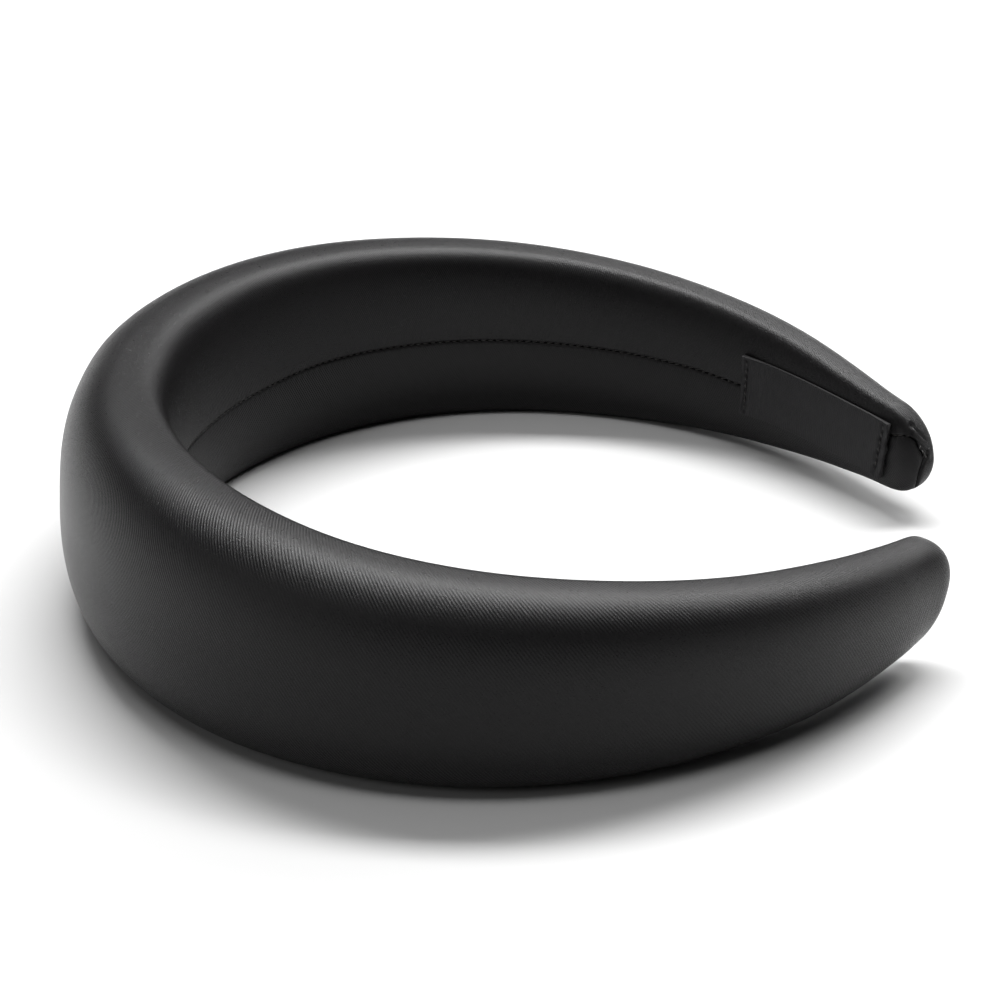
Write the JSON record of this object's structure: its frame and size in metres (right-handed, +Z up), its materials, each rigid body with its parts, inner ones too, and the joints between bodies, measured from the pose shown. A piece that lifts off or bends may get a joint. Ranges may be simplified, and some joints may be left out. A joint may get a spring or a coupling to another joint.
{
  "type": "padded hoop headband",
  "caption": "Padded hoop headband: an open, tapering satin-covered band with rounded tips, a seamed inner face and a bare woven label.",
  "frame": {"origin": "on the surface that the band lies on, under the middle of its outer box", "axes": "+Z up through the hoop, +X out of the open mouth, +Y towards the arm that carries the label"},
  "size_m": [0.1508, 0.1558, 0.0402],
  "materials": {
    "satin_cover": "black satin twill with a soft sheen",
    "satin_panel": "black satin twill, stitched along its upper edge",
    "woven_label": "matt black woven tape with turned-under ends, bare"
  },
  "bodies": {
    "root": {"padded_band": "satin_cover", "inner_panel": "satin_panel", "label": "woven_label"}
  },
  "joints": []
}
